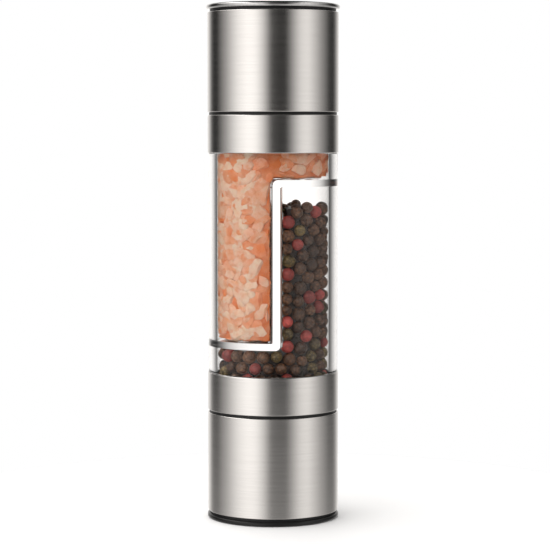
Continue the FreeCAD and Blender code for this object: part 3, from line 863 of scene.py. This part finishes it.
class MILL_OT_pepper(bpy.types.Operator):
    """Fill the lower chamber with mixed peppercorns that lie where they settle"""

    bl_idname = "mill.pepper"
    bl_label = "Peppercorns"

    def execute(self, context):
        settings = context.scene.mill_pepper
        jar = context.scene.mill_jar
        rng = np.random.default_rng(BERRY_SEED)
        centres, radii = balls_of("peppercorn_fill")
        turns = random_turns(rng, len(radii))
        shapes = [berry_shape(seed) for seed in range(BERRY_SHAPES)]
        olive = settings.red_share + settings.olive_share
        kinds = np.digitize(rng.uniform(size=len(radii)), [settings.red_share, olive])
        skins = (
            ("red", berry_skin("red_berries", settings.red, 0.12 * MM, 0.2, 1.6 * MM)),
            ("olive", berry_skin("olive_berries", settings.olive, 0.3 * MM, 0.65, 1.1 * MM)),
            ("brown", berry_skin("brown_berries", settings.brown, 0.45 * MM, 0.55, 1.6 * MM)),
        )
        for kind, (name, skin) in enumerate(skins):
            copies = []
            for i in np.flatnonzero(kinds == kind):
                shape, sides = shapes[i % len(shapes)]
                copies.append((shape * radii[i] @ turns[i].T + centres[i], sides, rng.uniform()))
            berries = heap(f"{name}_peppercorns", copies)
            smooth(berries, 80.0)
            dress(berries, skin, "jar", "peppercorn_fill", slot="peppercorns")
        roof = MID_HEIGHT + jar.rise / 2 - jar.divider / 2
        bed = half_turned(chamber_block(jar, settings.bed, roof - PEPPER_TOP))
        bed.name = "pepper_bed"
        bed.data.attributes.new("tint", "FLOAT", "POINT")
        smooth(bed)
        # The bed behind the berries is the brown at 0.3, in its darkest tint: painted shade of the gaps
        # between the berries and the depth behind them.
        shaded = berry_skin("shaded_berries", toned(settings.brown, 0.3), 0.3 * MM, 0.6, 1.6 * MM)
        dress(bed, shaded, "jar", "peppercorn_fill", slot="peppercorns")
        return {"FINISHED"}


def smooth_copy(node):
    """A copy of a CAD node's mesh with its triangles joined and its round faces smooth."""
    source = frame["nodes"][node]
    piece = source.copy()
    piece.data = source.data.copy()
    piece.parent = None
    piece.name = f"{node}_finished"
    bpy.context.scene.collection.objects.link(piece)
    begin_edit(piece, "VERT")
    bpy.ops.mesh.select_all(action="SELECT")
    bpy.ops.mesh.remove_doubles(threshold=0.002 * MM)
    end_edit()
    smooth(piece)
    return piece


class MILL_OT_works(bpy.types.Operator):
    """Finish the lids, cores, burrs, knobs, seals and hardware"""

    bl_idname = "mill.works"
    bl_label = "Works"

    def execute(self, context):
        settings = context.scene.mill_works
        black = black_plastic("black_moulding", settings.black, 0.36, 0.22 * MM)
        knob = black_plastic("knob_plastic", settings.knob, 0.3, 0.2 * MM)
        ceramic = fired_ceramic()
        metal = bright_steel()
        rubber = silicone()
        finishes = {
            "lid_plug": black,
            "head_core": black,
            "burr_housing": black,
            "collar_core": black,
            "burr_retainer": black,
            "adjuster_knob": knob,
            "stator_burr": ceramic,
            "rotor_burr": ceramic,
            "lid_seal": rubber,
            "neck_seal": rubber,
            "retainer_screws": metal,
            "head_clip": metal,
            "spindle": metal,
            "spring": metal,
            "spring_washer": metal,
            "knob_washer": metal,
        }
        bodies = frame["record"]["behaviour"]["bodies"]
        slots = {part["node"]: part["material_slot"] for part in frame["record"]["subparts"]}
        for end in ENDS:
            for part, finish in finishes.items():
                node = f"{end}_{part}"
                body = next(name for name, nodes in bodies.items() if node in nodes)
                dress(smooth_copy(node), finish, body, node, slot=slots[node])
        return {"FINISHED"}


# Light from the walls by bearing in degrees, where 0 is behind the camera and the right is positive.
LIGHT_ROUND = (
    (-180, 1.30),
    (-160, 1.10),
    (-150, 0.72),
    (-142, 0.25),
    (-134, 0.04),
    (-118, 0.01),
    (-92, 0.50),
    (-66, 1.30),
    (-48, 1.62),
    (-34, 1.55),
    (-19, 0.84),
    (-7, 0.06),
    (20, 0.01),
    (32, 0.50),
    (46, 1.06),
    (60, 1.20),
    (72, 0.86),
    (90, 0.40),
    (112, 0.05),
    (128, 0.03),
    (137, 0.20),
    (146, 0.58),
    (156, 0.90),
    (168, 1.12),
    (180, 1.30),
)
LIGHT_GAIN = 2.0
LIGHT_TINT = (1.0, 0.972, 0.945)
ABOVE_LEFT = 2.0
ABOVE_RIGHT = 0.6
LIGHT_BELOW = 0.45
BELOW_SHARE = 0.5
SHADED_LIGHT = 0.01
# Spans of a direction's height, or of how far it points aside, over which the light changes.
BELOW_SPAN = (-0.05, -0.30)
CEILING_SPAN = (0.35, 0.75)
CEILING_ACROSS = (-0.6, 0.6)
SHADED_SPAN = (0.35, 0.55)
SHADED_ASIDE = (0.64, 0.56)


def lit(strength):
    return rgba(tuple(strength * tint for tint in LIGHT_TINT))


def studio_light(scene):
    """Light and dark walls, a ceiling with a dark strip for mirrored light, and white to the eye."""
    world = bpy.data.worlds.new("studio")
    world.use_nodes = True
    scene.world = world
    studio = Nodes(world.node_tree)
    way = studio.step("SeparateXYZ", {0: studio.step("TexCoord", {}, "Generated")}).node.outputs
    back = studio.step("Math", {0: way["Y"], 1: -1.0}, operation="MULTIPLY")
    bearing = studio.step("Math", {0: way["X"], 1: back}, operation="ARCTAN2")
    stops = [((degrees + 180) / 360, lit(light / LIGHT_GAIN)) for degrees, light in LIGHT_ROUND]
    walls = studio.ramp(studio.spread(bearing, -math.pi, math.pi), *stops)
    sinking = studio.spread(way["Z"], *BELOW_SPAN, BELOW_SHARE, "SMOOTHSTEP")
    sides = studio.mix(sinking, walls, lit(LIGHT_BELOW))
    ceiling = studio.mix(studio.spread(way["X"], *CEILING_ACROSS), lit(ABOVE_LEFT), lit(ABOVE_RIGHT))
    rising = studio.spread(way["Z"], *CEILING_SPAN, blend="SMOOTHSTEP")
    room = studio.mix(rising, sides, ceiling)
    glossy = studio.step("LightPath", {}, "Is Glossy Ray")
    passed = studio.step("LightPath", {}, "Is Transmission Ray")
    bounced = studio.step("Math", {0: glossy, 1: passed}, operation="SUBTRACT")
    high = studio.spread(way["Z"], *SHADED_SPAN)
    aside = studio.step("Math", {0: way["X"]}, operation="ABSOLUTE")
    middle = studio.spread(aside, *SHADED_ASIDE)
    strip = studio.step("Math", {0: high, 1: middle}, operation="MULTIPLY")
    mirrored = studio.step("Math", {0: strip, 1: bounced}, operation="MULTIPLY")
    nodes = world.node_tree.nodes
    background = nodes["Background"]
    background.inputs["Strength"].default_value = LIGHT_GAIN
    join = world.node_tree.links.new
    join(studio.mix(mirrored, room, lit(SHADED_LIGHT)), background.inputs["Color"])
    paper = studio.step("Background", {"Color": rgba(1.0)})
    eye = studio.step("LightPath", {}, "Is Camera Ray")
    seen = studio.step("MixShader", {0: eye, 1: background.outputs[0], 2: paper})
    join(seen, nodes["World Output"].inputs["Surface"])


def pale_floor(settings):
    clear_selection()
    bpy.ops.mesh.primitive_circle_add(vertices=96, radius=settings.floor_radius, fill_type="NGON")
    floor = named("floor")
    finish = Finish("pale_floor")
    cloud = finish.noise(30.0, 2.0)
    finish.link(finish.ramp(cloud, (0.3, settings.floor), (0.7, toned(settings.floor, 1.02))), "Base Color")
    finish.set({"Roughness": 0.6})
    floor.data.materials.append(finish.material)
    floor.visible_glossy = False


def photo_camera(scene, settings):
    camera = bpy.data.cameras.new("camera")
    camera.lens = settings.lens
    camera.sensor_width = 36.0
    camera.clip_start = 0.01
    camera.clip_end = 50.0
    viewer = bpy.data.objects.new("camera", camera)
    viewer.location = (
        settings.distance * math.sin(settings.turn),
        -settings.distance * math.cos(settings.turn),
        settings.height,
    )
    viewer.rotation_euler = (math.pi / 2 - settings.pitch, 0.0, settings.turn - settings.aside)
    scene.collection.objects.link(viewer)
    scene.camera = viewer


class MILL_OT_stage(bpy.types.Operator):
    """Set up the floor, the studio light and the camera"""

    bl_idname = "mill.stage"
    bl_label = "Stage"

    def execute(self, context):
        scene = context.scene
        scene.view_settings.view_transform = "Standard"
        studio_light(scene)
        pale_floor(scene.mill_stage)
        photo_camera(scene, scene.mill_stage)
        return {"FINISHED"}


OPERATORS = (
    MILL_OT_steel_tubes,
    MILL_OT_rings,
    MILL_OT_clear_jar,
    MILL_OT_salt,
    MILL_OT_pepper,
    MILL_OT_works,
    MILL_OT_stage,
)
SETTINGS = {
    "mill_steel": SteelSettings,
    "mill_rim": RimSettings,
    "mill_jar": JarSettings,
    "mill_salt": SaltSettings,
    "mill_pepper": PepperSettings,
    "mill_works": WorksSettings,
    "mill_stage": StageSettings,
}


class MILL_PT_sidebar(bpy.types.Panel):
    """The mill's sizes, colours and pieces"""

    bl_label = "Salt and pepper mill"
    bl_idname = "MILL_PT_sidebar"
    bl_space_type = "VIEW_3D"
    bl_region_type = "UI"
    bl_category = "Mill"

    def draw(self, context):
        for operator in OPERATORS:
            self.layout.operator(operator.bl_idname)
        for name, group in SETTINGS.items():
            box = self.layout.box()
            for key in group.__annotations__:
                box.prop(getattr(context.scene, name), key)


def register():
    for group in SETTINGS.values():
        bpy.utils.register_class(group)
    for name, group in SETTINGS.items():
        setattr(bpy.types.Scene, name, bpy.props.PointerProperty(type=group))
    for operator in OPERATORS:
        bpy.utils.register_class(operator)
    bpy.utils.register_class(MILL_PT_sidebar)


def unregister():
    bpy.utils.unregister_class(MILL_PT_sidebar)
    for operator in reversed(OPERATORS):
        bpy.utils.unregister_class(operator)
    for name, group in SETTINGS.items():
        delattr(bpy.types.Scene, name)
        bpy.utils.unregister_class(group)


def main():
    register()
    bpy.ops.mill.steel_tubes()
    bpy.ops.mill.rings()
    bpy.ops.mill.clear_jar()
    bpy.ops.mill.salt()
    bpy.ops.mill.pepper()
    bpy.ops.mill.works()
    bpy.ops.mill.stage()


if __name__ == "__main__":
    main()
